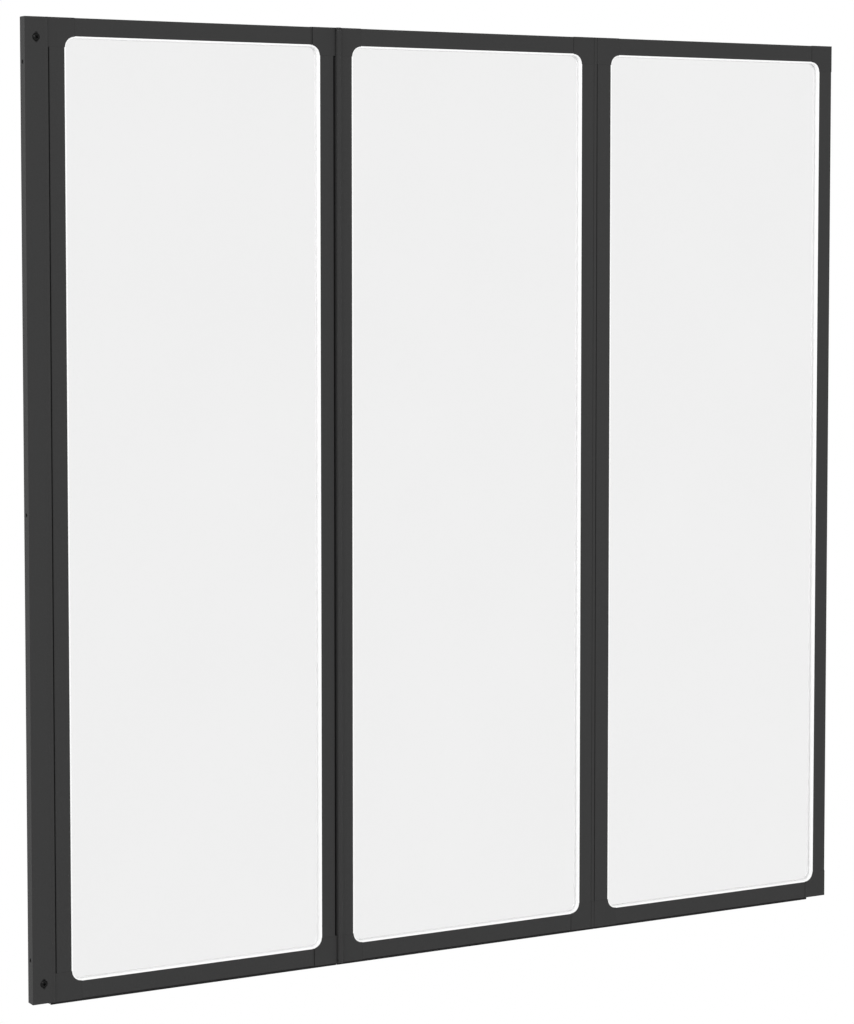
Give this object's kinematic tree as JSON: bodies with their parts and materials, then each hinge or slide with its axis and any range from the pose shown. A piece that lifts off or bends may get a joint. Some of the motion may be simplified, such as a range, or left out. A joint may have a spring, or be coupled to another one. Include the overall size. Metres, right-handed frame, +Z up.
{
  "type": "folding shower screen",
  "caption": "Folding bath screen of dark-framed glass panels, hinged in a zigzag from a wall channel so that they open along the bath or stack flat against each other.",
  "frame": {"origin": "on the wall face of the wall channel, at the middle of its height and depth", "axes": "+X away from the wall along the open screen, +Z up, -Y towards the room that the picture is taken from"},
  "size_m": [1.3, 0.026, 1.3],
  "materials": {
    "frame_coat": "satin",
    "corner_plastic": "satin",
    "pane_glass": "polished",
    "gasket_white": "matte",
    "seal_rubber": "matte",
    "screw_black": "satin",
    "pin_steel": "satin",
    "bush_acetal": "satin"
  },
  "bodies": {
    "wall": {"wall_channel": "frame_coat", "hinge_post": "frame_coat", "post_top_block": "corner_plastic", "post_bottom_block": "corner_plastic", "lock_screws": "screw_black", "wall_hinge_bushes": "bush_acetal"},
    "inner_panel": {"inner_glass": "pane_glass", "inner_gasket": "gasket_white", "inner_top_rail": "frame_coat", "inner_bottom_rail": "frame_coat", "inner_left_stile": "frame_coat", "inner_right_stile": "frame_coat", "inner_top_left_corner": "corner_plastic", "inner_bottom_left_corner": "corner_plastic", "inner_top_right_corner": "corner_plastic", "inner_bottom_right_corner": "corner_plastic", "inner_corner_screws": "screw_black", "inner_drip_seal": "seal_rubber", "wall_hinge_pins": "pin_steel", "middle_hinge_pins": "pin_steel", "wall_hinge_seal": "seal_rubber", "middle_hinge_seal": "seal_rubber"},
    "middle_panel": {"middle_glass": "pane_glass", "middle_gasket": "gasket_white", "middle_top_rail": "frame_coat", "middle_bottom_rail": "frame_coat", "middle_left_stile": "frame_coat", "middle_right_stile": "frame_coat", "middle_top_left_corner": "corner_plastic", "middle_bottom_left_corner": "corner_plastic", "middle_top_right_corner": "corner_plastic", "middle_bottom_right_corner": "corner_plastic", "middle_corner_screws": "screw_black", "middle_drip_seal": "seal_rubber", "middle_hinge_bushes": "bush_acetal", "outer_hinge_bushes": "bush_acetal"},
    "outer_panel": {"outer_glass": "pane_glass", "outer_gasket": "gasket_white", "outer_top_rail": "frame_coat", "outer_bottom_rail": "frame_coat", "outer_left_stile": "frame_coat", "outer_right_stile": "frame_coat", "outer_top_left_corner": "corner_plastic", "outer_bottom_left_corner": "corner_plastic", "outer_top_right_corner": "corner_plastic", "outer_bottom_right_corner": "corner_plastic", "outer_corner_screws": "screw_black", "outer_drip_seal": "seal_rubber", "outer_hinge_pins": "pin_steel", "outer_hinge_seal": "seal_rubber"}
  },
  "joints": [
    {"name": "wall_hinge", "type": "hinge", "parent": "wall", "child": "inner_panel", "pos_m": [0.028, 0.009, 0], "axis": [0, 0, 1], "range_deg": [0, 90]},
    {"name": "middle_hinge", "type": "hinge", "parent": "inner_panel", "child": "middle_panel", "pos_m": [0.4576, -0.009, 0], "axis": [0, 0, -1], "range_deg": [0, 180]},
    {"name": "outer_hinge", "type": "hinge", "parent": "middle_panel", "child": "outer_panel", "pos_m": [0.8754, 0.009, 0], "axis": [0, 0, 1], "range_deg": [0, 180]}
  ]
}
